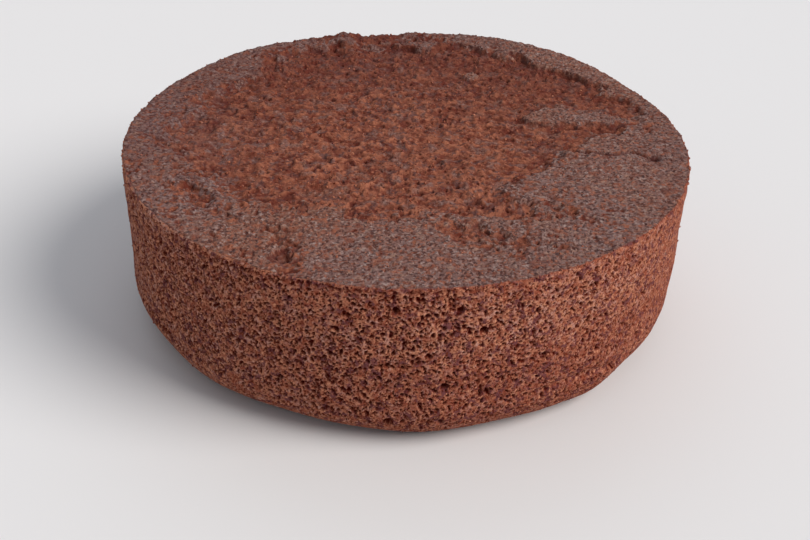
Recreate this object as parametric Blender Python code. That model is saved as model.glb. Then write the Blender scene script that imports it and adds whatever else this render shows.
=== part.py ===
"""Round chocolate sponge cake, uncut, stood with the face that baked on the tin's flat bottom turned up.

It is one solid. Part of the top still has its thin baked skin. The rest has torn away, so it lies lower
and is rough. The wall is the crumb that stood against the tin, and it leans in a little towards the foot.
The lower edge is the cake's rounded shoulder, and the flat inside it is what the cake rests on.

Metres, +Z up. The origin is the middle of the base. Angles run anticlockwise from +X, seen from above.
"""

import itertools
import math

import bmesh
import bpy
import numpy as np

MM = 0.001

# Driving dimensions
TOP_RADIUS = 100 * MM
HEIGHT = 61.5 * MM
WALL_LEAN = 1.4 * MM
FOOT_IN = 15 * MM
FOOT_UP = 17 * MM
ARRIS = 0.7 * MM

# How far the tin's wall and the rim are out of true: waves round the cake, each with how many
# swells it has, how large they are, and the angle of the first one in degrees.
RIM_WAVES = ((1, 0.5 * MM, 186), (3, 0.3 * MM, 67))
WALL_WAVES = ((1, 0.2 * MM, 165), (3, 0.25 * MM, 45))
FOOT_WAVES = ((4, 0.5 * MM, 26),)

# The powers with which the rim's waves and swells die out towards the middle of the top, the skin's
# relief towards the rim, the wall's waves towards the rim, and the foot's up the wall.
RIM_FADE = 3
SKIN_FADE = 4
WALL_FADE = 3
FOOT_FADE = 2

# Swells and hollows of the rim, in height, and of the foot, in distance from the axis: the middle
# and half-width in degrees, and the size.
RIM_SWELLS = (
    (60, 20, 1.6 * MM),
    (130, 15, 1.3 * MM),
    (106, 4, 2.2 * MM),
    (27, 9, -0.7 * MM),
    (-146, 12, -0.4 * MM),
)
FOOT_SWELLS = (
    (-38, 4, -0.4 * MM),
    (-49, 5, 1.3 * MM),
    (-69, 8, -1.1 * MM),
    (-87, 8, 1.2 * MM),
    (-113, 8, -0.8 * MM),
    (-132, 6, 0.6 * MM),
    (-147, 8, -0.6 * MM),
    (172, 10, 0.6 * MM),
    (137, 12, -0.7 * MM),
    (96, 14, 0.7 * MM),
    (58, 9, -0.6 * MM),
    (22, 12, 0.6 * MM),
)

# The inner edge of the skin round the top: angle in degrees, distance from the middle.
SKIN_EDGE = (
    (-180, 84 * MM),
    (-165, 80 * MM),
    (-150, 77 * MM),
    (-135, 70 * MM),
    (-120, 62 * MM),
    (-90, 55 * MM),
    (-50, 48 * MM),
    (-34, 46 * MM),
    (-4, 58 * MM),
    (8, 70 * MM),
    (13, 90 * MM),
    (28, 92 * MM),
    (50, 83 * MM),
    (70, 89 * MM),
    (84, 84 * MM),
    (97, 88 * MM),
    (115, 90 * MM),
    (126, 86 * MM),
    (146, 79 * MM),
    (172, 85 * MM),
)

# Patches inside that edge where skin is left, and patches outside it that are torn: x and y of
# the middle, half-length, half-width, and the turn of the length in degrees.
SKIN_PATCHES = ((60 * MM, 24 * MM, 13 * MM, 7 * MM, 20), (76 * MM, 14 * MM, 10 * MM, 12 * MM, 0))
TORN_PATCHES = (
    (-12 * MM, 95 * MM, 20 * MM, 9 * MM, 4),
    (65 * MM, 14 * MM, 9 * MM, 3.5 * MM, 5),
    (30 * MM, -48 * MM, 22 * MM, 7 * MM, 0),
    (28 * MM, -65 * MM, 8 * MM, 3 * MM, -20),
    (-69 * MM, -44 * MM, 7 * MM, 12 * MM, 20),
    (-67 * MM, -26 * MM, 15 * MM, 4 * MM, 0),
    (-78 * MM, -10 * MM, 7 * MM, 4 * MM, -30),
    (-39 * MM, -76 * MM, 4 * MM, 8 * MM, 10),
)

# How far the torn crumb lies below the skin, at the front and at the back, the distance over which
# that grows, how wide the step's slope is, how far the middle sags, and how rough it all is.
STEP_FRONT = 0.8 * MM
STEP_BACK = 1.7 * MM
STEP_GROWTH = 160 * MM
STEP_RUN = 2.5 * MM
SAG = 0.8 * MM
TORN_RELIEF = ((7 * MM, 0.45 * MM, 3), (3.6 * MM, 0.35 * MM, 4))
SKIN_RELIEF = ((16 * MM, 0.35 * MM, 5),)
EDGE_RELIEF = ((11 * MM, 4 * MM, 6), (5 * MM, 2.2 * MM, 7))

# Cracks in the skin: the points that each runs through, and its depth and half-width.
CRACKS = (
    (((56 * MM, -5 * MM), (72 * MM, -8 * MM), (80 * MM, -6 * MM), (88 * MM, -10 * MM)), 1.1 * MM, 1.6 * MM),
    (((52 * MM, 12 * MM), (62 * MM, 15 * MM), (74 * MM, 12 * MM)), 0.9 * MM, 1.6 * MM),
)

# Larger pits in the top: x, y, half-width and depth.
PITS = (
    (87 * MM, -10 * MM, 2.4 * MM, 1.6 * MM),
    (31 * MM, -67 * MM, 2.2 * MM, 1.6 * MM),
    (-37 * MM, -83 * MM, 2 * MM, 1.5 * MM),
    (-66 * MM, -52 * MM, 2.4 * MM, 1.3 * MM),
)

# Creases along the top of the rounded foot: middle and half-width in degrees, height above the
# base, half-height and depth. They wander up and down in small waves.
CREASES = (
    (-144, 13, 16 * MM, 1.6 * MM, 1.3 * MM),
    (-106, 10, 15 * MM, 1.5 * MM, 1.1 * MM),
    (-52, 12, 16 * MM, 1.6 * MM, 1.3 * MM),
    (40, 15, 15 * MM, 1.6 * MM, 1.2 * MM),
    (150, 16, 16 * MM, 1.6 * MM, 1.2 * MM),
)

CREASE_WANDER = 1.2 * MM
CREASE_WAVES = 11

# The open crumb of the wall, as far as a solid this coarse can hold it. It fades out below the rim.
WALL_RELIEF = ((14 * MM, 0.35 * MM, 8), (5 * MM, 0.3 * MM, 9))
WALL_RELIEF_FADE = 4 * MM

# How finely the solid is faceted
COLUMNS = 160
FOOT_ROWS = 6
WALL_ROWS = 7
RINGS_PER_BAND = (10, 9, 5, 2)
RING_SPACING = 3.3 * MM

NOISE_CELLS = 32

# Finish
CRUMB_COLOUR = (0.155, 0.052, 0.031, 1.0)
CRUMB_ROUGHNESS = 0.85


def lattice_noise(x, y, z, cell, seed):
    """Random numbers from -1 to 1 at the corners of a cubic lattice, eased in between."""
    table = np.random.RandomState(seed).uniform(-1, 1, (NOISE_CELLS,) * 3)
    scaled = [np.asarray(c) / cell for c in (x, y, z)]
    lower = [np.floor(c).astype(int) for c in scaled]
    eased = [(c - low) ** 2 * (3 - 2 * (c - low)) for c, low in zip(scaled, lower)]
    total = 0
    for corner in itertools.product((0, 1), repeat=3):
        weight = 1
        for side, ease in zip(corner, eased):
            weight = weight * (ease if side else 1 - ease)
        index = tuple((low + side) % NOISE_CELLS for low, side in zip(lower, corner))
        total = total + weight * table[index]
    return total


def relief(x, y, z, layers):
    """The sum of some layers of noise, each a cell size, a depth and a seed."""
    return sum(depth * lattice_noise(x, y, z, cell, seed) for cell, depth, seed in layers)


def waves(angle, terms):
    """The sum of cosine waves round the cake."""
    return sum(size * np.cos(count * (angle - math.radians(first))) for count, size, first in terms)


def bell(angle, middle, half_width):
    """1 at an angle, falling off as a bell curve to either side of it, in degrees."""
    away = (np.degrees(angle) - middle + 180) % 360 - 180
    return np.exp(-((away / half_width) ** 2))


def swells(angle, terms):
    """The sum of bell curves round the cake."""
    return sum(size * bell(angle, middle, half_width) for middle, half_width, size in terms)


def patch(x, y, middle_x, middle_y, half_length, half_width, turn):
    """Positive inside a turned ellipse, as a distance: 0 on its edge."""
    cos, sin = math.cos(math.radians(turn)), math.sin(math.radians(turn))
    along = ((x - middle_x) * cos + (y - middle_y) * sin) / half_length
    across = ((y - middle_y) * cos - (x - middle_x) * sin) / half_width
    return (1 - np.hypot(along, across)) * min(half_length, half_width)


def away_from_path(x, y, points):
    """The distance to a path of straight runs."""
    nearest = np.inf
    for (x0, y0), (x1, y1) in itertools.pairwise(points):
        run_x, run_y = x1 - x0, y1 - y0
        share = ((x - x0) * run_x + (y - y0) * run_y) / (run_x**2 + run_y**2)
        share = np.clip(share, 0, 1)
        nearest = np.minimum(nearest, np.hypot(x - x0 - share * run_x, y - y0 - share * run_y))
    return nearest


def skin_cover(x, y):
    """1 where the top has its skin, 0 where it is torn, with a slope of STEP_RUN between them."""
    angles = [angle for angle, _ in SKIN_EDGE]
    edges = [edge for _, edge in SKIN_EDGE]
    angle = np.degrees(np.arctan2(y, x))
    inside = np.hypot(x, y) - np.interp(angle, angles, edges, period=360)
    for skin in SKIN_PATCHES:
        inside = np.maximum(inside, patch(x, y, *skin))
    for torn in TORN_PATCHES:
        inside = np.minimum(inside, -patch(x, y, *torn))
    inside = inside + relief(x, y, 0 * x, EDGE_RELIEF)
    share = np.clip(inside / STEP_RUN + 0.5, 0, 1)
    return share * share * (3 - 2 * share)


def rim_height(angle):
    """The height of the rim: HEIGHT with its waves and swells."""
    return HEIGHT + waves(angle, RIM_WAVES) + swells(angle, RIM_SWELLS)


def top_height(x, y):
    """The rim's height, less the sag towards the middle, the torn step, the cracks and the pits."""
    out = np.hypot(x, y) / TOP_RADIUS
    cover = skin_cover(x, y)
    step = STEP_FRONT + (STEP_BACK - STEP_FRONT) * np.clip(0.5 + y / STEP_GROWTH, 0, 1)
    height = HEIGHT + (rim_height(np.arctan2(y, x)) - HEIGHT) * out**RIM_FADE
    height = height - SAG * (1 - out**2) - step * (1 - cover)
    height = height + relief(x, y, 0 * x, SKIN_RELIEF) * (1 - out**SKIN_FADE)
    height = height + relief(x, y, 0 * x, TORN_RELIEF) * (1 - cover)
    for points, depth, half_width in CRACKS:
        height = height - depth * np.exp(-((away_from_path(x, y, points) / half_width) ** 2))
    for middle_x, middle_y, half_width, depth in PITS:
        away = np.hypot(x - middle_x, y - middle_y)
        height = height - depth * np.exp(-((away / half_width) ** 2))
    return height


def wall_radius(angle, height):
    """The wall's distance from the axis: the lean, the quarter ellipse of the foot, waves, creases."""
    share = np.clip(1 - height / FOOT_UP, 0, 1)
    foot = FOOT_IN * (1 - np.sqrt(1 - share**2))
    up = np.clip(height / HEIGHT, 0, 1)
    radius = TOP_RADIUS - WALL_LEAN * (1 - up) - foot
    radius = radius + waves(angle, WALL_WAVES) * (1 - up**WALL_FADE)
    radius = radius + (waves(angle, FOOT_WAVES) + swells(angle, FOOT_SWELLS)) * (1 - up) ** FOOT_FADE
    for middle, half_width, level, half_height, depth in CREASES:
        line = level + CREASE_WANDER * np.sin(CREASE_WAVES * angle)
        groove = np.exp(-(((height - line) / half_height) ** 2))
        radius = radius - depth * groove * bell(angle, middle, half_width)
    x, y = np.cos(angle) * radius, np.sin(angle) * radius
    fade = np.clip(height / FOOT_UP, 0, 1) * np.clip((HEIGHT - height) / WALL_RELIEF_FADE, 0, 1)
    return radius + relief(x, y, height, WALL_RELIEF) * fade


def angles_of(verts):
    """The angle of each vertex round the axis."""
    return np.array([math.atan2(v.co.y, v.co.x) for v in verts])


def move(verts, x, y, z):
    """Puts the vertices at the points of three arrays."""
    for vert, *place in zip(verts, x, y, z):
        vert.co = place


def place_on_wall(verts, height):
    """Moves a ring of vertices to the wall, at one height or at a height each."""
    angle = angles_of(verts)
    height = height + 0 * angle
    radius = wall_radius(angle, height)
    move(verts, radius * np.cos(angle), radius * np.sin(angle), height)


def place_on_top(verts, radius):
    """Moves a ring of vertices to the top face, at one distance from the axis."""
    angle = angles_of(verts)
    x, y = radius * np.cos(angle), radius * np.sin(angle)
    move(verts, x, y, top_height(x, y))


def next_ring(mesh, edges):
    """Extrudes the open edge of the mesh, and returns the new ring's vertices and edges."""
    made = bmesh.ops.extrude_edge_only(mesh, edges=edges)["geom"]
    verts = [item for item in made if isinstance(item, bmesh.types.BMVert)]
    ring = [item for item in made if isinstance(item, bmesh.types.BMEdge) and item.is_boundary]
    return verts, ring


def halved_ring(mesh, edges, radius):
    """Bridges the open edge to a new ring that has half as many vertices."""
    made = bmesh.ops.create_circle(mesh, segments=len(edges) // 2, radius=radius)["verts"]
    ring = list({edge for vert in made for edge in vert.link_edges})
    bmesh.ops.bridge_loops(mesh, edges=edges + ring)
    return made, ring


def grow_wall(mesh):
    """The flat base, the rounded foot and the wall, up to the arris. Returns the open edge."""
    base = bmesh.ops.create_circle(mesh, cap_ends=True, segments=COLUMNS, radius=TOP_RADIUS)["verts"]
    place_on_wall(base, 0.0)
    edges = list({edge for vert in base for edge in vert.link_edges})
    for row in range(1, FOOT_ROWS + 1):
        verts, edges = next_ring(mesh, edges)
        place_on_wall(verts, FOOT_UP * (1 - math.cos(0.5 * math.pi * row / FOOT_ROWS)))
    for row in range(1, WALL_ROWS + 1):
        verts, edges = next_ring(mesh, edges)
        angle = angles_of(verts)
        top = top_height(TOP_RADIUS * np.cos(angle), TOP_RADIUS * np.sin(angle)) - ARRIS
        place_on_wall(verts, FOOT_UP + (top - FOOT_UP) * row / WALL_ROWS)
    return edges


def grow_top(mesh, edges):
    """Rings from the arris to the middle, with half as many vertices in each band inwards."""
    radius = TOP_RADIUS - ARRIS
    verts, edges = next_ring(mesh, edges)
    place_on_top(verts, radius)
    for band, rings in enumerate(RINGS_PER_BAND):
        for ring in range(rings):
            radius -= RING_SPACING
            if band and not ring:
                verts, edges = halved_ring(mesh, edges, radius)
            else:
                verts, edges = next_ring(mesh, edges)
            place_on_top(verts, radius)
    middle = bmesh.ops.contextual_create(mesh, geom=edges)["faces"]
    bmesh.ops.poke(mesh, faces=middle)


def crumb_material():
    """Dark brown chocolate crumb, dull all over."""
    material = bpy.data.materials.new("chocolate_crumb")
    material.use_nodes = True
    shader = material.node_tree.nodes["Principled BSDF"]
    shader.inputs["Base Color"].default_value = CRUMB_COLOUR
    shader.inputs["Roughness"].default_value = CRUMB_ROUGHNESS
    shader.inputs["Metallic"].default_value = 0.0
    return material


def make_cake():
    """The cake as one closed mesh."""
    shape = bmesh.new()
    grow_top(shape, grow_wall(shape))
    bmesh.ops.recalc_face_normals(shape, faces=shape.faces)
    mesh = bpy.data.meshes.new("sponge_cake")
    shape.to_mesh(mesh)
    shape.free()
    mesh.materials.append(crumb_material())
    mesh.shade_smooth()
    cake = bpy.data.objects.new("sponge_cake", mesh)
    bpy.context.scene.collection.objects.link(cake)


for leftover in list(bpy.data.objects):
    bpy.data.objects.remove(leftover)
make_cake()
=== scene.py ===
import itertools
import math

import bpy
import numpy as np
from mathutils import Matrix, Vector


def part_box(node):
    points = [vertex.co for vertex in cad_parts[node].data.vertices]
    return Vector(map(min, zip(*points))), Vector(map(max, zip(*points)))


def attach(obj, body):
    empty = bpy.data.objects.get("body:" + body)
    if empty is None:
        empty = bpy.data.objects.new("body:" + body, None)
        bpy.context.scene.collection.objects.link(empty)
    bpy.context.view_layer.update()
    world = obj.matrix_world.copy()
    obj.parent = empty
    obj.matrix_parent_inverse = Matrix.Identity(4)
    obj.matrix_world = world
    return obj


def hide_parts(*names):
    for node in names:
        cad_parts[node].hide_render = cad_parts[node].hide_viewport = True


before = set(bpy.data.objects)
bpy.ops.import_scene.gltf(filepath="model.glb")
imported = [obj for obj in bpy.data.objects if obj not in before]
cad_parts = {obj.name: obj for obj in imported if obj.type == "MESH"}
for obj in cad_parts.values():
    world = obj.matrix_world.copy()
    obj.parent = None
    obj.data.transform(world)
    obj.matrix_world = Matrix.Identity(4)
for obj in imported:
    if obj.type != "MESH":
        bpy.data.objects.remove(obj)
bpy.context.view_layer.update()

# THE BAKED TOP
# The face that baked on the flat bottom of the tin, and now looks up. It set as a thin, smooth, greyish
# brown skin. Lining paper took the skin off the middle with it, so bare crumb lies there, a step lower,
# behind a ragged edge, with cracks and pits where the skin lifted.

MM = 0.001
NODE = "sponge_cake"
LOW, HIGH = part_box(NODE)
TALLEST_SWELL = 1.55 * MM
TOP_RADIUS = round((HIGH.x - LOW.x) / 2, 3)
HEIGHT = HIGH.z - TALLEST_SWELL
BACK_DEPTH = 7 * MM

# Waves of the rim: how many, how high, the angle of the first. Then its swells and hollows: the middle
# and half-width in degrees, and the height.
RIM_WAVES = ((1, 0.5 * MM, 186), (3, 0.3 * MM, 67))
RIM_SWELLS = (
    (60, 20, 1.6 * MM),
    (130, 15, 1.3 * MM),
    (106, 4, 2.2 * MM),
    (27, 9, -0.7 * MM),
    (-146, 12, -0.4 * MM),
)

# The inner edge of the skin: angle in degrees, distance from the middle.
SKIN_EDGE = (
    (-180, 84 * MM),
    (-165, 80 * MM),
    (-150, 77 * MM),
    (-135, 70 * MM),
    (-120, 62 * MM),
    (-90, 55 * MM),
    (-50, 48 * MM),
    (-34, 46 * MM),
    (-4, 58 * MM),
    (8, 70 * MM),
    (13, 90 * MM),
    (28, 92 * MM),
    (50, 83 * MM),
    (70, 89 * MM),
    (84, 84 * MM),
    (97, 88 * MM),
    (115, 90 * MM),
    (126, 86 * MM),
    (146, 79 * MM),
    (172, 85 * MM),
)

# Patches of skin left inside that edge, and torn patches outside it: x, y, half-length, half-width, turn.
SKIN_PATCHES = ((60 * MM, 24 * MM, 13 * MM, 7 * MM, 20), (76 * MM, 14 * MM, 10 * MM, 12 * MM, 0))
TORN_PATCHES = (
    (-12 * MM, 95 * MM, 20 * MM, 9 * MM, 4),
    (65 * MM, 14 * MM, 9 * MM, 3.5 * MM, 5),
    (28 * MM, -48 * MM, 19 * MM, 7 * MM, 0),
    (28 * MM, -65 * MM, 8 * MM, 3 * MM, -20),
    (-69 * MM, -44 * MM, 7 * MM, 12 * MM, 20),
    (-67 * MM, -26 * MM, 15 * MM, 4 * MM, 0),
    (-78 * MM, -10 * MM, 7 * MM, 4 * MM, -30),
    (-39 * MM, -76 * MM, 4 * MM, 8 * MM, 10),
)

# The step down from skin to torn crumb: its height at the front and the back, half its width, and between
# which shares of the radius it runs out. Then how far the middle of the top sags.
STEP_FRONT = 0.8 * MM
STEP_BACK = 1.7 * MM
STEP_RUN = 0.9 * MM
STEP_ENDS = 0.88, 0.98
SAG = 0.8 * MM

# Half the width of the edge of the skin's colour. The step's shadow: half its width, and how far towards the
# front it lasts. The back right, where the skin tore off clean: the middle and half-width in degrees.
COLOUR_RUN = 0.8 * MM
SHADOW_RUN = 0.9 * MM
SHADOW_END = -60 * MM
CLEAN_TEAR = 45, 38

# Cracks: the points that each runs through, its depth and half-width. Pits: x, y, half-width, depth.
CRACKS = (
    (((56 * MM, -5 * MM), (72 * MM, -8 * MM), (80 * MM, -6 * MM), (88 * MM, -10 * MM)), 1.4 * MM, 0.65 * MM),
    (((52 * MM, 12 * MM), (62 * MM, 15 * MM), (74 * MM, 12 * MM)), 1.1 * MM, 0.7 * MM),
)
PITS = (
    (87 * MM, -10 * MM, 2.2 * MM, 1.8 * MM),
    (31 * MM, -67 * MM, 1.3 * MM, 1.6 * MM),
    (-37 * MM, -83 * MM, 1.3 * MM, 1.3 * MM),
    (-65 * MM, -51 * MM, 1.4 * MM, 1.1 * MM),
)

# A round bit of skin that stayed on the bare crumb.
BIT_X = 25 * MM
BIT_Y = 59 * MM
BIT_HALF_WIDTH = 3.4 * MM
BIT_HEIGHT = 1.3 * MM

# Layers of relief, each a cell size, a depth and a seed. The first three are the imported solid's own.
SKIN_RELIEF = ((16 * MM, 0.35 * MM, 5),)
TORN_RELIEF = ((7 * MM, 0.45 * MM, 3), (3.6 * MM, 0.35 * MM, 4))
EDGE_RELIEF = ((11 * MM, 4 * MM, 6), (5 * MM, 2.2 * MM, 7))
SKIN_GRAIN = ((4.5 * MM, 0.12 * MM, 11), (1.8 * MM, 0.12 * MM, 12), (1.0 * MM, 0.22 * MM, 13))
TORN_GRAIN = ((2.4 * MM, 0.36 * MM, 14), (1.2 * MM, 0.24 * MM, 15))

# How far noise moves the edge of the skin's colour, the step, the cracks, the pits, the bit of skin and the
# holes: layers as above.
COLOUR_FRAY = ((5.5 * MM, 5 * MM, 47), (2.6 * MM, 6 * MM, 16), (1.3 * MM, 6 * MM, 17))
STEP_FRAY = ((5.5 * MM, 1.1 * MM, 47), (2.6 * MM, 1.0 * MM, 16), (1.3 * MM, 0.3 * MM, 17))
CRACK_FRAY = ((2.2 * MM, 0.8 * MM, 21),)
PIT_FRAY = ((1.6 * MM, 0.6 * MM, 22),)
BIT_FRAY = ((2.5 * MM, 0.5 * MM, 54),)
SHAKE_ACROSS = ((1.5 * MM, 0.45 * MM, 23),)
SHAKE_ALONG = ((1.5 * MM, 0.45 * MM, 24),)

# Flakes of torn crumb, curled up at their edges: layers as above, with a share in place of the depth, their
# height, and between which distances towards the front left they get rougher.
FLAKES = ((3.4 * MM, 1.0, 50), (1.6 * MM, 0.6, 51))
FLAKE_HEIGHT = 0.4 * MM
ROUGH_RAMP = 10 * MM, 60 * MM

# How far the fine relief of torn crumb is sunk, and how high its grain stands where its painted highlight
# is lightest. Then one wide pool of painted light on it: x, y and half-width.
TORN_SINK = 0.3 * MM
TORN_CONTRAST = 0.8 * MM
PALE_X = 18 * MM
PALE_Y = -34 * MM
PALE_REACH = 36 * MM

# What comes in patches, each a cell size and a seed: flakes, the step's shadow, a film of skin left on the
# crumb, wear that bares the crumb under the skin, and greyer skin.
FLAKED = 8 * MM, 52
SHADOWED = 4 * MM, 53
FILMED = 2.9 * MM, 28
WORN = 1.5 * MM, 29
GREYER = 21 * MM, 20

# How grey the skin is, partly its own grey and partly a painted sheen, and its swells of grey round the
# cake, as for the rim. Where the film is thicker: the middle and half-width in degrees. Then after how
# many cells all the noise repeats.
GREY_SHARE = 0.62
GREY_SWELLS = ((-148, 12, 0.35), (178, 16, 0.3), (-124, 13, -0.7))
FILMED_SIDE = 178, 16
NOISE_CELLS = 32

# How much painted shade darkens the top, and between which distances: bare crumb towards the back and
# towards the rim, in shares of the radius, then skin towards the back left, the right and the left.
CRUMB_SHADE_BACK = 0.32, 5 * MM, 95 * MM
CRUMB_SHADE_RIM = 0.2, 0.3, 0.8
SKIN_SHADE_BACK = 0.26, 20 * MM, 90 * MM
SKIN_SHADE_RIGHT = 0.12, 76 * MM, 97 * MM
SKIN_SHADE_LEFT = 0.05, 45 * MM, 75 * MM

# Holes and lumps on a square lattice: after how many columns it repeats, its cell, the share of cells that
# hold one, the smallest and the largest radius, and a seed. Then after how many rows every lattice repeats,
# and the distance that counts where there is no hole, in radii.
TORN_HOLES = 128, 3.4 * MM, 0.6, 0.4 * MM, 1.0 * MM, 25
FINE_HOLES = 256, 1.5 * MM, 0.75, 0.25 * MM, 0.55 * MM, 26
PINHOLES = 256, 1.4 * MM, 0.75, 0.2 * MM, 0.5 * MM, 27
TORN_LUMPS = 256, 2.4 * MM, 0.9, 0.7 * MM, 1.4 * MM, 30
PORE_ROWS = 96
NO_PORE = 9.0

# The worn arris of the rim: its radius, layers of noise that change it, and the most that they take off.
ARRIS = 0.65 * MM
ARRIS_BITES = ((4.5 * MM, 0.6 * MM, 18), (1.6 * MM, 0.3 * MM, 19))
ARRIS_LOSS = 0.35 * MM

# The grid of the top: its cells each way, and how many strips it is cut into.
TOP_CELLS = 462
TOP_STRIPS = 3


def lattice_noise(x, y, z, cell, seed):
    """Random numbers from -1 to 1 at the corners of a cubic lattice, eased in between."""
    table = np.random.RandomState(seed).uniform(-1, 1, (NOISE_CELLS,) * 3)
    scaled = [np.asarray(c) / cell for c in (x, y, z)]
    lower = [np.floor(c).astype(int) for c in scaled]
    eased = [(c - low) ** 2 * (3 - 2 * (c - low)) for c, low in zip(scaled, lower)]
    total = 0
    for corner in itertools.product((0, 1), repeat=3):
        weight = 1
        for side, ease in zip(corner, eased):
            weight = weight * (ease if side else 1 - ease)
        index = tuple((low + side) % NOISE_CELLS for low, side in zip(lower, corner))
        total = total + weight * table[index]
    return total


def relief(x, y, z, layers):
    """The sum of some layers of noise, each a cell size, a depth and a seed."""
    return sum(depth * lattice_noise(x, y, z, cell, seed) for cell, depth, seed in layers)


def smooth(value, low, high):
    """0 below low, 1 above high, and an S-shaped ramp between them."""
    share = np.clip((value - low) / (high - low), 0, 1)
    return share * share * (3 - 2 * share)


def bell(angle, middle, half_width):
    """1 at an angle, falling off as a bell curve to either side of it, in degrees."""
    away = (np.degrees(angle) - middle + 180) % 360 - 180
    return np.exp(-((away / half_width) ** 2))


def round_terms(angle, wave_terms, swell_terms):
    """The sum of cosine waves and of bell curves round the cake."""
    total = 0 * angle
    for count, size, first in wave_terms:
        total = total + size * np.cos(count * (angle - math.radians(first)))
    for middle, half_width, size in swell_terms:
        total = total + size * bell(angle, middle, half_width)
    return total


def patch(x, y, middle_x, middle_y, half_length, half_width, turn):
    """Positive inside a turned ellipse, as a distance: 0 on its edge."""
    cos, sin = math.cos(math.radians(turn)), math.sin(math.radians(turn))
    along = ((x - middle_x) * cos + (y - middle_y) * sin) / half_length
    across = ((y - middle_y) * cos - (x - middle_x) * sin) / half_width
    return (1 - np.hypot(along, across)) * min(half_length, half_width)


def away_from_path(x, y, points):
    """The distance to a path of straight runs."""
    nearest = np.inf
    for (x0, y0), (x1, y1) in itertools.pairwise(points):
        run_x, run_y = x1 - x0, y1 - y0
        share = ((x - x0) * run_x + (y - y0) * run_y) / (run_x**2 + run_y**2)
        share = np.clip(share, 0, 1)
        nearest = np.minimum(nearest, np.hypot(x - x0 - share * run_x, y - y0 - share * run_y))
    return nearest


def inside_skin(x, y):
    """How far a point lies inside the skin's ragged edge: the ring, with patches added and taken away."""
    angles = [angle for angle, _ in SKIN_EDGE]
    edges = [edge for _, edge in SKIN_EDGE]
    inside = np.hypot(x, y) - np.interp(np.degrees(np.arctan2(y, x)), angles, edges, period=360)
    for skin in SKIN_PATCHES:
        inside = np.maximum(inside, patch(x, y, *skin))
    for torn in TORN_PATCHES:
        inside = np.minimum(inside, -patch(x, y, *torn))
    return inside + relief(x, y, 0 * x, EDGE_RELIEF)


def pores(across, up, columns, cell, share, small, large, seed):
    """The nearest pore: how far off it is as a share of its radius, so 1 on its edge, and that radius.

    Each square of a lattice may hold one pore, at a random place, with a random size, stretch and turn.
    The nearest in the nine squares round a point counts. The lattice repeats after so many columns.
    """
    draws = np.random.RandomState(seed).uniform(0, 1, (6, columns, PORE_ROWS))
    column, row = np.floor(across / cell).astype(int), np.floor(up / cell).astype(int)
    nearest, radius = np.full(across.shape, NO_PORE), np.full(across.shape, small)
    for step_x, step_y in itertools.product((-1, 0, 1), repeat=2):
        drawn = draws[:, (column + step_x) % columns, (row + step_y) % PORE_ROWS]
        away_x = across - (column + step_x + drawn[0]) * cell
        away_y = up - (row + step_y + drawn[1]) * cell
        size = small + (large - small) * drawn[2] ** 2
        stretch, turn = 0.72 + 0.5 * drawn[3], math.pi * drawn[4]
        along = (away_x * np.cos(turn) + away_y * np.sin(turn)) * stretch / size
        aside = (away_y * np.cos(turn) - away_x * np.sin(turn)) / stretch / size
        away = np.where(drawn[5] < share, np.hypot(along, aside), NO_PORE)
        radius = np.where(away < nearest, size, radius)
        nearest = np.minimum(nearest, away)
    return nearest, radius


def skin_edge(x, y):
    """How far up the step each point is, how much skin covers it, and the shadow at the step's foot.

    The first two are ramps from 0 to 1 across the skin's edge, frayed by noise, the colour less where the
    skin tore clean. The shadow is a bell curve along the foot, in patches, and fades out at the front.
    """
    flat = 0 * x
    inside, clean = inside_skin(x, y), bell(np.arctan2(y, x), *CLEAN_TEAR)
    lip = inside + relief(x, y, flat, STEP_FRAY)
    run = STEP_RUN * (1.1 + 0.4 * clean)
    ledge = smooth(lip, -run, run)
    fray = relief(x, y, flat, COLOUR_FRAY)
    skin = smooth(inside + fray * (1 - 0.85 * clean), -COLOUR_RUN, COLOUR_RUN)
    shadow = 0.5 * np.exp(-(((lip + run) / SHADOW_RUN) ** 2))
    shadow = shadow * smooth(lattice_noise(x, y, flat, *SHADOWED), -0.35, 0.35) * smooth(y, SHADOW_END, 0)
    return ledge, skin, shadow


def cracks_and_pits(x, y):
    """How far they go down, and their painted shade: a bell curve across each path and round each point."""
    flat = 0 * x
    down, mark = flat, flat
    for points, depth, half_width in CRACKS:
        away = away_from_path(x, y, points) + relief(x, y, flat, CRACK_FRAY)
        crack = np.exp(-((away / half_width) ** 2))
        down, mark = down + depth * crack, np.maximum(mark, 0.9 * crack)
    for middle_x, middle_y, half_width, depth in PITS:
        away = np.hypot(x - middle_x, y - middle_y) + relief(x, y, flat, PIT_FRAY)
        hollow = np.exp(-((away / half_width) ** 2))
        down, mark = down + depth * hollow, np.maximum(mark, 0.95 * hollow)
    return down, mark


def bit_of_skin(x, y):
    """Where the bit of skin lies, as a ramp at its edge, and its shadow, a bell curve along its front."""
    away = np.hypot(x - BIT_X, y - BIT_Y) + relief(x, y, 0 * x, BIT_FRAY)
    bit = 1 - smooth(away / BIT_HALF_WIDTH, 0.75, 1.1)
    shadow = 0.7 * np.exp(-(((away / BIT_HALF_WIDTH - 1.2) / 0.2) ** 2))
    return bit, shadow * smooth(BIT_Y - y, 0, BIT_HALF_WIDTH)


def shaken(x, y):
    """A place on the top, moved by noise, so that no hole is round, and shifted, so that it is positive."""
    across = x + relief(x, y, 0 * x, SHAKE_ACROSS) + 2 * TOP_RADIUS
    along = y + relief(x, y, 0 * x, SHAKE_ALONG) + 2 * TOP_RADIUS
    return across, along


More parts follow.
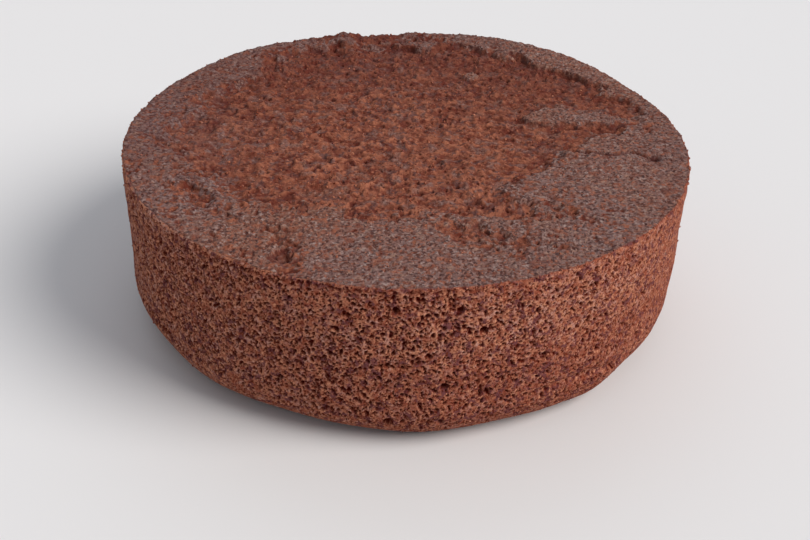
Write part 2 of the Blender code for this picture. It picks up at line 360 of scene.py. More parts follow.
def torn_crumb(x, y):
    """The fine relief of bare crumb, its painted shade, and its raised mark, a painted highlight.

    It is grain, flakes and round lumps, less large and fine holes in painted shade. The flakes lie in
    patches and stand higher at the front left, with a painted shadow along the low side of each. One wide
    patch gets a pool of painted light.
    """
    flat = 0 * x
    across, along = shaken(x, y)
    away, radius = pores(across, along, *TORN_HOLES)
    hole = 1 - smooth(away, 0.35, 1.0)
    away, fine_radius = pores(across, along, *FINE_HOLES)
    fine = 1 - smooth(away, 0.3, 1.0)
    away, lump_radius = pores(across, along, *TORN_LUMPS)
    lump = 1 - smooth(away, 0.2, 1.25)
    grain = relief(x, y, flat, TORN_GRAIN)
    folds, here = relief(x, y, flat, FLAKES), smooth(lattice_noise(x, y, flat, *FLAKED), -0.4, 0.3)
    flake = smooth(folds, -0.35, 0.1) * here
    # A painted shadow along the low side of each flake.
    flake_shadow = np.exp(-(((folds + 0.4) / 0.3) ** 2)) * here
    rough = 1 + 0.6 * smooth(-x - y, *ROUGH_RAMP)
    # A pool of painted light on one wide patch of torn crumb.
    painted_light = 0.18 * np.exp(-(((x - PALE_X) ** 2 + (y - PALE_Y) ** 2) / PALE_REACH**2))
    rise = grain + FLAKE_HEIGHT * (flake - 0.5) * rough + 0.4 * lump_radius * lump - TORN_SINK
    rise = rise - 1.2 * radius * hole - 0.8 * fine_radius * fine
    painted_shade = 0.8 * hole + 0.4 * fine * (1 - lump) + 0.5 * flake_shadow * rough
    # A painted highlight on raised crumb: lighter on lumps, flakes and higher grain.
    raised_highlight = np.clip(0.15 + 0.25 * lump + 0.3 * flake * rough + painted_light + grain / TORN_CONTRAST, 0, 1)
    return rise, painted_shade, raised_highlight


def smooth_skin(x, y):
    """The fine relief of skin, and the painted shade in its pinholes: low grain, less pinholes."""
    across, along = shaken(x, y)
    away, radius = pores(across, along, *PINHOLES)
    pinhole = 1 - smooth(away, 0.3, 1.0)
    return relief(x, y, 0 * x, SKIN_GRAIN) - 1.2 * radius * pinhole, 0.85 * pinhole


def ramp(value, share, low, high):
    """0 below low, a share above high, and an S-shaped ramp between them."""
    return share * smooth(value, low, high)


def top_shade(x, y, skin):
    """Painted shade at a point, against the middle of the top: the ramps of crumb, or of skin, added up."""
    out = np.hypot(x, y) / TOP_RADIUS
    crumb_shade = ramp(y, *CRUMB_SHADE_BACK) + ramp(out, *CRUMB_SHADE_RIM)
    skin_shade = ramp(y - x, *SKIN_SHADE_BACK) + ramp(x, *SKIN_SHADE_RIGHT) + ramp(-x, *SKIN_SHADE_LEFT)
    return (1 - skin) * crumb_shade + skin * skin_shade


def top_surface(x, y):
    """The height of the top and each point's marks, 0 to 1: skin, painted shade, highlight, grey and sheen.

    The height is the tin's flat bottom with the rim's swells, less the sag and the step of the torn part,
    plus the fine relief of skin or crumb, less cracks and pits. The painted shade mark holds all that is
    dark: the pits, cracks, holes and pinholes, the shadows of the step and the bit of skin, and the shade of
    the top. The skin mark is thinned where the skin is worn, and a film of it is left on the crumb.
    """
    flat = 0 * x
    angle, out = np.arctan2(y, x), np.hypot(x, y) / TOP_RADIUS
    ledge, skin, step_shadow = skin_edge(x, y)
    torn, bare = 1 - ledge, 1 - skin
    step = STEP_FRONT + (STEP_BACK - STEP_FRONT) * np.clip(0.5 + y / (1.6 * TOP_RADIUS), 0, 1)
    step = step * (1 - 0.75 * smooth(out, *STEP_ENDS))
    height = HEIGHT + round_terms(angle, RIM_WAVES, RIM_SWELLS) * out**3 - SAG * (1 - out**2)
    height = height + relief(x, y, flat, SKIN_RELIEF) * (1 - out**4)
    height = height + (relief(x, y, flat, TORN_RELIEF) - step) * torn
    down, painted_shade = cracks_and_pits(x, y)
    crumb_rise, crumb_painted_shade, raised_highlight = torn_crumb(x, y)
    skin_rise, skin_painted_shade = smooth_skin(x, y)
    bit, bit_shadow = bit_of_skin(x, y)
    height = height - down + bare * crumb_rise + skin * skin_rise + BIT_HEIGHT * bit

    # Painted shade: pits, cracks, holes, pinholes, the step's and the bit's shadows, then the top's shade.
    for dark in (bare * crumb_painted_shade, skin * skin_painted_shade, step_shadow, bit_shadow):
        painted_shade = np.maximum(painted_shade, dark)
    painted_shade = 1 - (1 - np.clip(painted_shade, 0, 1)) * (1 - top_shade(x, y, skin) * (1 - bit))
    # Grey skin, partly its own colour and partly a painted sheen, less where the skin tore clean.
    clean = bell(angle, *CLEAN_TEAR) * smooth(y, -20 * MM, 20 * MM)
    grey_and_sheen = GREY_SHARE + 0.25 * lattice_noise(x, y, flat, *GREYER) + round_terms(angle, (), GREY_SWELLS)
    grey_and_sheen = np.clip(grey_and_sheen - 0.5 * clean, 0, 1)
    film = 0.6 * smooth(lattice_noise(x, y, flat, *FILMED), 0.3, 0.6)
    film = film + 0.25 * bell(angle, *FILMED_SIDE) * smooth(out, 0.45, 0.7)
    wear = 0.7 * smooth(lattice_noise(x, y, flat, *WORN), 0.3, 0.65)
    skin = np.maximum(np.maximum(skin * (1 - wear), film * bare), 0.95 * bit)
    return height, {"skin": skin, "painted_shade": painted_shade, "raised_highlight": raised_highlight, "grey_and_sheen": grey_and_sheen}


def arris_size(angle):
    """How far the worn rim is rounded off, which changes round the cake."""
    x, y = TOP_RADIUS * np.cos(angle), TOP_RADIUS * np.sin(angle)
    return ARRIS + np.maximum(relief(x, y, 0 * x, ARRIS_BITES), -ARRIS_LOSS)


def disc_grid(across, along):
    """The points of a square grid from -1 to 1, moved onto a disc: each square ring becomes a circle."""
    wide = np.abs(across) > np.abs(along)
    safe_across, safe_along = np.where(across == 0, 1, across), np.where(along == 0, 1, along)
    angle = np.where(wide, along / safe_across, 2 - across / safe_along) * math.pi / 4
    reach = np.where(wide, across, along)
    return reach * np.cos(angle), reach * np.sin(angle)


def quads(rows, columns):
    """The four corners of each cell of a grid of points, wound anticlockwise."""
    first = (np.arange(rows - 1)[:, None] * columns + np.arange(columns - 1)).ravel()
    return np.stack([first, first + 1, first + columns + 1, first + columns], axis=1)


def border(rows, columns):
    """The points round the edge of a grid, anticlockwise."""
    grid = np.arange(rows * columns).reshape(rows, columns)
    return np.concatenate([grid[0, :-1], grid[:-1, -1], grid[-1, :0:-1], grid[:0:-1, 0]])


def closed_piece(name, points, back, marks, material):
    """A grid of points made a closed body: a skirt runs from its border to the back points, and a face
    closes them. marks are numbers for each point, which the material reads. The grid fills its own map,
    and the hidden faces share a small corner of it.
    """
    rows, columns = points.shape[:2]
    edge = border(rows, columns)
    after = np.roll(np.arange(len(edge)), -1)
    skirt = np.stack([edge, rows * columns + np.arange(len(edge)), rows * columns + after, edge[after]], 1)
    closing = rows * columns + np.arange(len(edge))
    front = quads(rows, columns)
    every = np.concatenate([points.reshape(-1, 3), back])
    corners = np.concatenate([front.ravel(), skirt.ravel(), closing]).astype(np.int32)
    faces = len(front) + len(skirt) + 1
    starts = np.append(np.arange(faces - 1) * 4, (faces - 1) * 4).astype(np.int32)

    mesh = bpy.data.meshes.new(name)
    mesh.vertices.add(len(every))
    mesh.vertices.foreach_set("co", every.astype(np.float32).ravel())
    mesh.loops.add(len(corners))
    mesh.loops.foreach_set("vertex_index", corners)
    mesh.polygons.add(faces)
    mesh.polygons.foreach_set("loop_start", starts)
    mesh.update(calc_edges=True)
    smooth_faces = np.arange(faces) < len(front)
    mesh.polygons.foreach_set("use_smooth", smooth_faces)

    share_v, share_u = np.meshgrid(np.linspace(0, 1, rows), np.linspace(0, 1, columns), indexing="ij")
    places = np.stack([0.01 + 0.98 * share_u, 0.02 + 0.97 * share_v], axis=-1).reshape(-1, 2)[front.ravel()]
    hidden = len(corners) - front.size
    turn = np.linspace(0, 2 * np.pi, hidden)
    tucked = 0.006 + 0.004 * np.stack([np.cos(turn), np.sin(turn)], axis=1)
    layer = mesh.uv_layers.new(name="OFBake")
    layer.uv.foreach_set("vector", np.concatenate([places, tucked]).astype(np.float32).ravel())
    for mark, values in marks.items():
        filled = np.concatenate([values.ravel(), np.zeros(len(back))]).astype(np.float32)
        mesh.attributes.new(mark, "FLOAT", "POINT").data.foreach_set("value", filled)
    mesh.validate()
    mesh.materials.append(material)
    piece = bpy.data.objects.new(name, mesh)
    bpy.context.scene.collection.objects.link(piece)
    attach(piece, "root")
    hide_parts(NODE)


def linear(code):
    """The linear colour of an sRGB hex value."""
    shares = [int(code[i : i + 2], 16) / 255 for i in (1, 3, 5)]
    return [s / 12.92 if s <= 0.04045 else ((s + 0.055) / 1.055) ** 2.4 for s in shares] + [1.0]


def add(tree, kind, inputs=(), **settings):
    """Adds a node to a tree, sets its properties, and fills each named input with a value or a link."""
    made = tree.nodes.new(kind)
    for name, value in settings.items():
        setattr(made, name, value)
    for name, value in dict(inputs).items():
        if isinstance(value, bpy.types.NodeSocket):
            tree.links.new(value, made.inputs[name])
        else:
            made.inputs[name].default_value = value
    return made


def speckles(tree, size, seed, low, high, detail=2.0):
    """0 to 1 in soft-edged specks of about a size: a noise, spread out from low to high."""
    place = add(tree, "ShaderNodeTexCoord").outputs["Object"]
    moved = add(tree, "ShaderNodeMapping", {"Vector": place, "Location": (seed, 2 * seed, 3 * seed)})
    noise = add(
        tree,
        "ShaderNodeTexNoise",
        {"Vector": moved.outputs[0], "Scale": 0.5 / size, "Detail": detail, "Roughness": 0.6},
    )
    spread = {"Value": noise.outputs[0], "From Min": low, "From Max": high}
    return add(tree, "ShaderNodeMapRange", spread, interpolation_type="SMOOTHSTEP").outputs[0]


def layered(tree, first, *layers):
    """A colour, then others laid over it, each by a share from 0 to 1."""
    for share, colour in layers:
        mix = add(tree, "ShaderNodeMix", {0: share, 6: first, 7: colour}, data_type="RGBA")
        first = mix.outputs[2]
    return first


# Chocolate sponge is a foam of flour, egg and cocoa, set in the oven: dull all over, with a painted
# highlight in orange brown where thin crumb catches the light, and painted shade near black in its pores.
# The skin is drier, smoother and greyer, and its grey is partly a painted sheen for how it shines at a low
# angle. The cocoa's own grain is too fine to show, so its bump is drawn at 0.4 mm.
CRUMB_DARK = linear("#642817")
CRUMB_BROWN = linear("#743d2b")
CRUMB_PURPLE = linear("#63403b")
CRUMB_ORANGE = linear("#a5654b")
# Painted shade on the top: the dark of pores, pits, cracks and shadows.
TOP_SHADE_BLACK = linear("#4c0f06")
SKIN_BROWN = linear("#552818")
SKIN_RUST = linear("#7c4e3d")
# The skin's grey, partly its own colour and partly a painted sheen.
SKIN_MAUVE = linear("#765a57")
SKIN_PLUM = linear("#44211c")
SKIN_GREY = linear("#98807a")
SKIN_TAN = linear("#95705f")
SKIN_ORANGE = linear("#8b4f39")
CRUMB_ROUGHNESS = 0.9
SKIN_ROUGHNESS = 0.6


def top_material():
    """Baked top: crumb and skin, by the marks on its points."""
    material = bpy.data.materials.new("baked_skin_and_bare_crumb")
    material.use_nodes = True
    tree = material.node_tree
    shader = tree.nodes["Principled BSDF"]
    skin, painted_shade, raised_highlight, grey_and_sheen = (
        add(tree, "ShaderNodeAttribute", attribute_name=mark).outputs["Fac"]
        for mark in ("skin", "painted_shade", "raised_highlight", "grey_and_sheen")
    )
    # Raised crumb is laid on in orange as a painted highlight, then speckles of tone.
    crumb = layered(
        tree,
        CRUMB_BROWN,
        (raised_highlight, CRUMB_ORANGE),
        (speckles(tree, 2.4 * MM, 1.3, 0.46, 0.64, 3.0), CRUMB_DARK),
        (speckles(tree, 1.5 * MM, 2.1, 0.52, 0.64, 3.0), CRUMB_PURPLE),
        (speckles(tree, 0.6 * MM, 2.9, 0.52, 0.72), CRUMB_ORANGE),
        (speckles(tree, 0.55 * MM, 3.3, 0.54, 0.74), CRUMB_DARK),
    )
    warm = speckles(tree, 1.8 * MM, 8.3, 0.42, 0.6, 3.0)
    baked = layered(
        tree,
        SKIN_RUST,
        (grey_and_sheen, SKIN_MAUVE),
        (speckles(tree, 0.65 * MM, 7.1, 0.46, 0.66), layered(tree, SKIN_GREY, (warm, SKIN_TAN))),
        (speckles(tree, 0.65 * MM, 4.7, 0.5, 0.64), SKIN_PLUM),
        (speckles(tree, 0.9 * MM, 5.9, 0.55, 0.67), SKIN_ORANGE),
        (speckles(tree, 0.8 * MM, 6.7, 0.54, 0.65), SKIN_BROWN),
    )
    colour = layered(tree, crumb, (skin, baked), (painted_shade, TOP_SHADE_BLACK))
    ends = {"Value": skin, "To Min": CRUMB_ROUGHNESS, "To Max": SKIN_ROUGHNESS}
    roughness = add(tree, "ShaderNodeMapRange", ends).outputs[0]
    grain = speckles(tree, 0.4 * MM, 7.7, 0.2, 0.8)
    bump = add(tree, "ShaderNodeBump", {"Height": grain, "Distance": 0.3 * MM, "Strength": 0.8})
    tree.links.new(bump.outputs[0], shader.inputs["Normal"])
    tree.links.new(colour, shader.inputs["Base Color"])
    tree.links.new(roughness, shader.inputs["Roughness"])
    shader.inputs["IOR"].default_value = 1.45
    shader.inputs["Specular IOR Level"].default_value = 0.4
    return material


baked_top = top_material()
for strip, side in enumerate(("front", "middle", "back")):
    first_row, last_row = strip * TOP_CELLS // TOP_STRIPS, (strip + 1) * TOP_CELLS // TOP_STRIPS
    along, across = np.meshgrid(
        np.arange(first_row, last_row + 1) * 2 / TOP_CELLS - 1,
        np.arange(TOP_CELLS + 1) * 2 / TOP_CELLS - 1,
        indexing="ij",
    )
    x, y = disc_grid(across, along)
    reach = TOP_RADIUS - arris_size(np.arctan2(y, x))
    x, y = x * reach, y * reach
    height, marks = top_surface(x, y)
    points = np.stack([x, y, height], axis=-1)
    back = points.reshape(-1, 3)[border(*height.shape)]
    back[:, :2] *= np.minimum(1, (TOP_RADIUS - BACK_DEPTH) / np.hypot(back[:, 0], back[:, 1]))[:, None]
    back[:, 2] = HEIGHT - BACK_DEPTH
    closed_piece(f"top_{side}", points, back, marks, baked_top)


# THE WALL
# The crumb that stood against the tin's side: an open foam of pores, a millimetre or so wide, with a few
# large ones. It leans in towards the foot, which is the cake's own rounded shoulder, creased where the
# batter folded as it rose.

# How far the wall leans in, and the quarter ellipse of the foot: how far in, how far up, and how long it is.
WALL_LEAN = 1.4 * MM
FOOT_IN = 15 * MM
FOOT_UP = 17 * MM
FOOT_LENGTH = 25.2 * MM

# Waves and swells of the wall and the foot, as for the rim. Creases: the middle and half-width in degrees,
# the height, the half-height and the depth.
WALL_WAVES = ((1, 0.2 * MM, 165), (3, 0.25 * MM, 45))
FOOT_WAVES = ((4, 0.5 * MM, 26),)
FOOT_SWELLS = (
    (-38, 4, -0.4 * MM),
    (-49, 5, 1.3 * MM),
    (-69, 8, -1.1 * MM),
    (-87, 8, 1.2 * MM),
    (-113, 8, -0.8 * MM),
    (-132, 6, 0.6 * MM),
    (-147, 8, -0.6 * MM),
    (172, 10, 0.6 * MM),
    (137, 12, -0.7 * MM),
    (96, 14, 0.7 * MM),
    (58, 9, -0.6 * MM),
    (22, 12, 0.6 * MM),
)
CREASES = (
    (-144, 13, 16 * MM, 1.6 * MM, 1.3 * MM),
    (-106, 10, 15 * MM, 1.5 * MM, 1.1 * MM),
    (-52, 12, 16 * MM, 1.6 * MM, 1.3 * MM),
    (40, 15, 15 * MM, 1.6 * MM, 1.2 * MM),
    (150, 16, 16 * MM, 1.6 * MM, 1.2 * MM),
)

# Layers of relief and shaking, as for the top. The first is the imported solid's own.
WALL_RELIEF = ((14 * MM, 0.35 * MM, 8), (5 * MM, 0.3 * MM, 9))
WALL_GRAIN = ((1.7 * MM, 0.16 * MM, 31), (0.8 * MM, 0.1 * MM, 32))
WALL_SHAKE_ACROSS = ((1.3 * MM, 0.5 * MM, 33), (0.8 * MM, 0.2 * MM, 43))
WALL_SHAKE_UP = ((1.3 * MM, 0.5 * MM, 34), (0.8 * MM, 0.2 * MM, 44))
HOLE_FRAY = ((1.2 * MM, 0.45 * MM, 46),)

# Pores of the crumb, as for the top, but without the number of columns.
LARGE_PORES = 13 * MM, 0.25, 0.9 * MM, 1.4 * MM, 35
MIDDLING_PORES = 1.8 * MM, 0.95, 0.42 * MM, 0.87 * MM, 36
SMALL_PORES = 1.0 * MM, 0.9, 0.25 * MM, 0.45 * MM, 37

# How high the grain stands where its painted highlight is lightest. What comes in patches, as for the top:
# how wide the pores open, and the notches under the rim.
WALL_CONTRAST = 0.4 * MM
OPENED = 12 * MM, 38
NOTCHED = 1.3 * MM, 45

# Where the wall differs round the cake, each the middle and half-width in degrees: closer crumb and duller
# crumb on the right, coarse crumb on the left, the light band above the middle, painted shade on the foot,
# crumb that is open right up to the rim, notches under the rim, and the worn rim's edge, paler from wear
# and with a painted highlight.
CLOSE_CRUMB = -2, 22
DULL_CRUMB = -2, 32
COARSE_CRUMB = -158, 28
LIGHT_BAND = -60, 38
FOOT_PAINTED_SHADE = -55, 42
OPEN_RIM = -108, 32
NOTCHES = -98, 26
WORN_ARRIS_HIGHLIGHT = -148, 42

# Their heights: the middle and half-height of the light band, between what heights the painted shade on the
# foot fades, and between what heights the crumb closes. Then how far under the rim the notches are, half
# their height, and their depth.
BAND_LEVEL = 46 * MM
BAND_HALF_HEIGHT = 8 * MM
FOOT_DARK_BELOW = 26 * MM
FOOT_LIGHT_ABOVE = 40 * MM
CLOSED_FROM = HEIGHT - 3.5 * MM
CLOSED_TO = HEIGHT - 0.5 * MM
NOTCHES_DOWN = 1.3 * MM
NOTCH_HALF_HEIGHT = 0.7 * MM
NOTCH_DEPTH = 0.7 * MM

# The grid of the wall: its rows up the foot, up the wall and over the arris.
FOOT_ROWS = 72
WALL_ROWS = 128
ARRIS_ROWS = 4


def wall_radius(angle, height):
    """The wall's distance from the axis: the lean, the quarter ellipse of the foot, waves, creases."""
    share = np.clip(1 - height / FOOT_UP, 0, 1)
    up = np.clip(height / HEIGHT, 0, 1)
    radius = TOP_RADIUS - WALL_LEAN * (1 - up) - FOOT_IN * (1 - np.sqrt(1 - share**2))
    radius = radius + round_terms(angle, WALL_WAVES, ()) * (1 - up**3)
    radius = radius + round_terms(angle, FOOT_WAVES, FOOT_SWELLS) * (1 - up) ** 2
    for middle, half_width, level, half_height, depth in CREASES:
        line = level + 1.2 * MM * np.sin(11 * angle)
        groove = np.exp(-(((height - line) / half_height) ** 2))
        radius = radius - depth * groove * bell(angle, middle, half_width)
    x, y = np.cos(angle) * radius, np.sin(angle) * radius
    fade = np.clip(height / FOOT_UP, 0, 1) * np.clip((HEIGHT - height) / (4 * MM), 0, 1)
    return radius + relief(x, y, height, WALL_RELIEF) * fade


def pores_round(across, up, cell, share, small, large, seed):
    """The nearest pore, with the cell fitted so that a whole number of them goes round the wall."""
    columns = round(2 * math.pi * TOP_RADIUS / cell)
    return pores(across, up, columns, 2 * math.pi * TOP_RADIUS / columns, share, small, large, seed)


def crumb_pores(across, up, x, y, z, open_share):
    """How deep the open crumb goes in, its painted shade in the pores, and its raised mark.

    Three sizes of pore lie over each other. Their places are shaken by noise, so that no pore is round.
    The thin crumb round a pore stands proud of it, and it and the higher grain get a painted highlight.
    """
    across = across + relief(x, y, z, WALL_SHAKE_ACROSS)
    up = up + relief(x, y, z, WALL_SHAKE_UP)
    away, radius = pores_round(across, up, *LARGE_PORES)
    large = 1 - smooth(away, 0.45, 1.0)
    depth = 1.5 * radius * large
    away, radius = pores_round(across, up, *MIDDLING_PORES)
    away = away / open_share
    middling = 1 - smooth(away, 0.4, 1.0)
    edge = np.exp(-(((away - 1.2) / 0.25) ** 2))
    depth = np.maximum(depth, 1.6 * radius * middling)
    away, radius = pores_round(across, up, *SMALL_PORES)
    small = (1 - smooth(away / open_share, 0.3, 1.0)) * (1 - middling)
    depth = depth + 1.2 * radius * small
    painted_shade = np.maximum(np.maximum(large, middling), 0.85 * small)
    grain = relief(x, y, z, WALL_GRAIN)
    # A painted highlight on the pore edges and on the higher grain.
    raised_highlight = np.clip(0.6 * edge + 0.25 + grain / WALL_CONTRAST, 0, 1) * (1 - painted_shade)
    return grain - depth, painted_shade, raised_highlight


# The large holes of the front: their angle in degrees, height and radius.
FRONT_HOLES = (
    (-75.7, 45.2 * MM, 1.5 * MM),
    (-80, 53.3 * MM, 1.1 * MM),
    (-91.5, 53.8 * MM, 1.4 * MM),
    (-89.1, 45.5 * MM, 0.9 * MM),
    (-85.4, 37.2 * MM, 0.9 * MM),
    (-102.9, 35.8 * MM, 1.0 * MM),
    (-63.3, 31 * MM, 1.1 * MM),
    (-141.6, 31.3 * MM, 1.5 * MM),
    (-82.3, 25 * MM, 1.5 * MM),
    (-74.6, 21.3 * MM, 1.3 * MM),
    (-62.4, 17.2 * MM, 1.0 * MM),
    (-92.5, 10.5 * MM, 1.9 * MM),
    (-82.8, 10.8 * MM, 1.4 * MM),
    (-96, 9 * MM, 1.2 * MM),
    (-74.7, 11.5 * MM, 1.1 * MM),
    (-126, 42 * MM, 1.1 * MM),
    (-113, 22 * MM, 1.2 * MM),
)


def front_holes(angle, height, x, y):
    """How far inside a large hole a point lies, from 0 on its edge to 1 well inside, and how deep it is."""
    fray = relief(x, y, height, HOLE_FRAY)
    deepest, depth = 0 * height, 0 * height
    for middle, level, radius in FRONT_HOLES:
        away = np.hypot((angle - math.radians(middle)) * TOP_RADIUS, height - level) + fray
        hole = 1 - smooth(away / radius, 0.5, 1.05)
        deepest, depth = np.maximum(deepest, hole), np.maximum(depth, 1.5 * radius * hole)
    return deepest, depth


def wall_crumb(angle, up, x, y, height, rim_height):
    """The open crumb of the wall: how deep it goes in, its painted shade, and its raised mark.

    It is the three sizes of pore, the large holes and the notches, shallower close under the rim, all in
    painted shade. Bell curves round the cake change how wide the pores open and how light their edges are,
    and paint shade on the foot.
    """
    band = np.exp(-(((height - BAND_LEVEL) / BAND_HALF_HEIGHT) ** 2)) * bell(angle, *LIGHT_BAND)
    # Painted shade on the foot at the front right: duller pore edges and darker pores.
    foot = smooth(-height, -FOOT_LIGHT_ABOVE, -FOOT_DARK_BELOW) * bell(angle, *FOOT_PAINTED_SHADE)
    coarse = bell(angle, *COARSE_CRUMB)
    under_rim = smooth(height, CLOSED_FROM, CLOSED_TO)
    open_share = 1.0 - 0.3 * bell(angle, *CLOSE_CRUMB) + 0.2 * lattice_noise(x, y, height, *OPENED)
    open_share = open_share + 0.2 * coarse - 0.06 * band
    open_share = open_share - 0.35 * under_rim * (1 - bell(angle, *OPEN_RIM))
    across = (angle % (2 * math.pi)) * TOP_RADIUS
    depth, painted_shade, raised_highlight = crumb_pores(across, up, x, y, height, open_share)
    hole, hole_depth = front_holes(angle, height, x, y)
    depth, painted_shade = np.minimum(depth, -hole_depth * (hole > 0)), np.maximum(painted_shade, hole)
    level = (height - rim_height + NOTCHES_DOWN) / NOTCH_HALF_HEIGHT
    notch = np.exp(-(level**2)) * bell(angle, *NOTCHES)
    notch = notch * smooth(lattice_noise(x, y, height, *NOTCHED), 0, 0.35)
    depth, painted_shade = depth * (1 - 0.4 * under_rim) - NOTCH_DEPTH * notch, np.maximum(painted_shade, 0.95 * notch)
    raised_highlight = np.clip(raised_highlight * (1 + 0.5 * band + 0.3 * coarse), 0, 1)
    raised_highlight = raised_highlight * (1 - 0.45 * bell(angle, *DULL_CRUMB)) * (1 - 0.35 * foot)
    return depth, 1 - (1 - painted_shade) * (1 - 0.08 * foot), raised_highlight


def wall_surface(angle, row):
    """The points of the wall, and their marks. The rows go up the foot, up the wall and over the arris.

    On the foot each row is a step of the quarter ellipse's angle, on the wall a step of height, and on
    the arris a step round a quarter circle that ends on the top. The crumb goes in along the normal.
    """
    foot = np.clip(row / FOOT_ROWS, 0, 1) * math.pi / 2
    wall = np.clip((row - FOOT_ROWS) / WALL_ROWS, 0, 1)
    over = np.clip((row - FOOT_ROWS - WALL_ROWS) / ARRIS_ROWS, 0, 1) * math.pi / 2
    arris = arris_size(angle)
    rim_height = top_surface(TOP_RADIUS * np.cos(angle[:1]), TOP_RADIUS * np.sin(angle[:1]))[0]
    height = FOOT_UP * (1 - np.cos(foot)) + (rim_height - arris - FOOT_UP) * wall
    radius = wall_radius(angle, height) - arris * (1 - np.cos(over))
    x, y = radius * np.cos(angle), radius * np.sin(angle)

    up = FOOT_LENGTH * foot * 2 / math.pi + (HEIGHT - FOOT_UP) * wall + ARRIS * over
    depth, painted_shade, raised_highlight = wall_crumb(angle, up, x, y, height, rim_height)
    ledge = smooth(row, 0, 6) * np.cos(over)
    depth, painted_shade = depth * ledge, painted_shade * ledge
    out = np.where(row < FOOT_ROWS, np.sin(foot), np.cos(over))
    rise = np.where(row < FOOT_ROWS, -np.cos(foot), 0)
    x, y = x + depth * out * np.cos(angle), y + depth * out * np.sin(angle)
    z = height + depth * rise

    top, marks = top_surface(x, y)
    on_top = np.sin(over)
    z = z + (top - rim_height) * on_top * (row > FOOT_ROWS + WALL_ROWS) + arris * on_top
    # The worn rim's edge: paler from wear, with a painted highlight that also clears the painted shade
    # there.
    worn_rim_highlight = smooth(on_top, 0.1, 0.4) * (1 - smooth(on_top, 0.9, 1)) * bell(angle, *WORN_ARRIS_HIGHLIGHT)
    raised_highlight = np.maximum(raised_highlight * (1 - on_top), worn_rim_highlight)
    marks = {
        "skin": marks["skin"] * smooth(on_top, 0.86, 1.0),
        "painted_shade": (painted_shade * (1 - on_top) + marks["painted_shade"] * on_top) * (1 - 0.8 * worn_rim_highlight),
        "raised_highlight": raised_highlight + marks["raised_highlight"] * smooth(on_top, 0.9, 1.0) * (1 - raised_highlight),
        "grey_and_sheen": marks["grey_and_sheen"],
    }
    return np.stack([x, y, np.maximum(z, 0)], axis=-1), marks


# The same sponge, cleanly parted from the tin: dull, with a pale orange painted highlight on the thin
# edges of its pores, and painted shade almost black in them, because they are deep. Its grain is too fine
# to show, so its bump is drawn at 0.35 mm.
WALL_BROWN = linear("#8e4b38")
WALL_PURPLE = linear("#6f4141")
WALL_ORANGE = linear("#c7876a")
WALL_PALE = linear("#c39283")
# Painted shade on the wall: the dark of pores, holes and notches.
WALL_SHADE_BLACK = linear("#500a03")


def wall_material():
    """Open crumb, by the marks on its points, with the same skin where it turns over onto the top."""
    material = bpy.data.materials.new("open_chocolate_crumb")
    material.use_nodes = True
    tree = material.node_tree
    shader = tree.nodes["Principled BSDF"]
    skin, painted_shade, raised_highlight, grey_and_sheen = (
        add(tree, "ShaderNodeAttribute", attribute_name=mark).outputs["Fac"]
        for mark in ("skin", "painted_shade", "raised_highlight", "grey_and_sheen")
    )
    crumb = layered(
        tree,
        WALL_BROWN,
        (raised_highlight, layered(tree, WALL_ORANGE, (speckles(tree, 1.2 * MM, 4.1, 0.45, 0.6), WALL_PALE))),
        (speckles(tree, 1.3 * MM, 2.1, 0.5, 0.64), WALL_PURPLE),
        (speckles(tree, 0.5 * MM, 1.3, 0.52, 0.68), CRUMB_DARK),
        (speckles(tree, 0.55 * MM, 3.7, 0.56, 0.7), WALL_ORANGE),
        (skin, layered(tree, SKIN_RUST, (grey_and_sheen, SKIN_MAUVE))),
        (painted_shade, WALL_SHADE_BLACK),
    )
    grain = speckles(tree, 0.35 * MM, 7.7, 0.2, 0.8)
    bump = add(tree, "ShaderNodeBump", {"Height": grain, "Distance": 0.3 * MM, "Strength": 0.9})
    tree.links.new(bump.outputs[0], shader.inputs["Normal"])
    tree.links.new(crumb, shader.inputs["Base Color"])
    shader.inputs["Roughness"].default_value = 0.92
    shader.inputs["IOR"].default_value = 1.45
    shader.inputs["Specular IOR Level"].default_value = 0.06
    return material


crumb_wall = wall_material()
rows = FOOT_ROWS + WALL_ROWS + ARRIS_ROWS + 1
for sector, side in enumerate(("front", "right", "back", "left")):
    start = math.radians(-135 + 90 * sector)
    step = math.pi / 2 / TOP_CELLS
    row, angle = np.meshgrid(np.arange(rows), start + step * np.arange(TOP_CELLS + 1), indexing="ij")
    points, marks = wall_surface(angle, row.astype(float))
    back = points.reshape(-1, 3)[border(rows, TOP_CELLS + 1)]
    back[:, :2] *= (1 - BACK_DEPTH / np.hypot(back[:, 0], back[:, 1]))[:, None]
    back[:, 2] = np.clip(back[:, 2], BACK_DEPTH, HEIGHT - BACK_DEPTH)
    closed_piece(f"wall_{side}", points, back, marks, crumb_wall)


# THE UNDERSIDE
# The face that the cake rests on: the top of the risen batter, levelled by the cake's own weight. It is
# the same crumb, pressed flat, with shallow pores.

# Its cells each way, how wide its pores open, and over what share of its radius it runs out to a plain edge.
BASE_CELLS = 231
BASE_OPEN_SHARE = 0.75
BASE_EDGE = 0.02

along, across = np.meshgrid(
    np.arange(BASE_CELLS + 1) * 2 / BASE_CELLS - 1,
    1 - np.arange(BASE_CELLS + 1) * 2 / BASE_CELLS,
    indexing="ij",
)
x, y = disc_grid(across, along)
out = np.hypot(x, y)
angle = np.arctan2(y, x)
reach = wall_radius(angle, 0 * angle)
x, y = x * reach, y * reach
depth, painted_shade, raised_highlight = crumb_pores(x + 2 * TOP_RADIUS, y + 2 * TOP_RADIUS, x, y, 0 * x, BASE_OPEN_SHARE)
within = smooth(1 - out, 0, BASE_EDGE)
height = np.maximum(-0.5 * depth, 0) * within
points = np.stack([x, y, height], axis=-1)
back = points.reshape(-1, 3)[border(*x.shape)]
back[:, :2] *= (1 - BACK_DEPTH / np.hypot(back[:, 0], back[:, 1]))[:, None]
back[:, 2] = BACK_DEPTH
